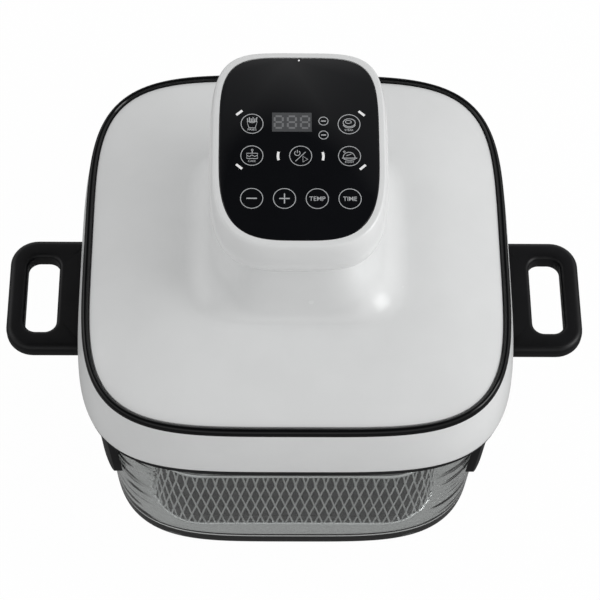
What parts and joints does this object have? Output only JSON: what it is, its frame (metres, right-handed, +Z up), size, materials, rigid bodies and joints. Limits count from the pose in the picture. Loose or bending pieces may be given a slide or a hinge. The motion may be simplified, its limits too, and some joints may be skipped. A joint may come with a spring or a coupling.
{
  "type": "halogen oven",
  "caption": "Square glass-bowl countertop oven with a powered lift-off lid, tilted touch pod on a flared pedestal, black side loop handles and a wire mesh basket.",
  "frame": {"origin": "centre of the glass bowl's flat underside, where the oven stands on the worktop", "axes": "+Z up, front of the oven towards -Y, handles along X"},
  "size_m": [0.435, 0.323, 0.3451],
  "materials": {
    "clear_glass": "clear",
    "black_plastic": "satin",
    "silicone": "matte",
    "steel": "brushed",
    "bright_sheet": "bright",
    "non_stick": "satin non-stick",
    "white_plastic": "satin",
    "gloss_black": "gloss",
    "insulation": "felt",
    "lamp_glass": "clear",
    "ceramic": "matte",
    "bronze": "satin",
    "board_green": "satin",
    "component_amber": "satin"
  },
  "bodies": {
    "base": {"glass_bowl": "clear_glass", "bowl_carrier": "black_plastic", "carrier_gasket": "silicone", "handle_left": "black_plastic", "handle_right": "black_plastic", "handle_screws": "steel", "lid_magnet": "steel"},
    "basket": {"basket_mesh": "steel", "basket_rim": "steel", "basket_feet": "silicone", "crisper_tray": "non_stick"},
    "lid": {"lid_side_band": "white_plastic", "lid_trim_ring": "gloss_black", "lid_top_shell": "white_plastic", "lid_base_plate": "black_plastic", "lid_seal": "silicone", "lid_screws": "steel", "reflector_pan": "bright_sheet", "insulation_pad": "insulation", "heat_shield": "bright_sheet", "halogen_lamp": "lamp_glass", "lamp_end_caps": "ceramic", "lamp_clips": "steel", "fan_guard": "steel", "guard_screws": "steel", "motor_bracket": "steel", "bracket_screws": "steel", "fan_motor": "steel", "motor_bushes": "bronze", "motor_screws": "steel", "temperature_sensor": "steel", "thermal_cutout": "ceramic", "reed_switch": "board_green", "mains_inlet": "black_plastic", "inlet_pins": "bronze", "inlet_screws": "steel", "pod_shell": "white_plastic", "control_chassis": "black_plastic", "power_board": "board_green", "power_components": "component_amber", "buzzer": "black_plastic", "light_frame": "black_plastic", "touch_panel": "gloss_black", "display_module": "black_plastic", "indicator_leds": "white_plastic", "touch_board": "board_green", "touch_springs": "steel", "board_screws": "steel"},
    "rotor": {"motor_shaft": "steel", "hot_air_fan": "steel", "cooling_fan": "white_plastic", "fan_nuts": "steel"}
  },
  "joints": [
    {"name": "lid_lift", "type": "slide", "parent": "base", "child": "lid", "axis": [0, 0, 1], "range_m": [0, 0.36]},
    {"name": "basket_lift", "type": "slide", "parent": "base", "child": "basket", "axis": [0, 0, 1], "range_m": [0, 0.18]},
    {"name": "fan_spin", "type": "hinge", "parent": "lid", "child": "rotor", "pos_m": [0, 0, 0.2], "axis": [0, 0, 1], "continuous": true}
  ],
  "couplings": [
    {"joint": "basket_lift", "follows": "lid_lift", "ratio": 0.5}
  ]
}
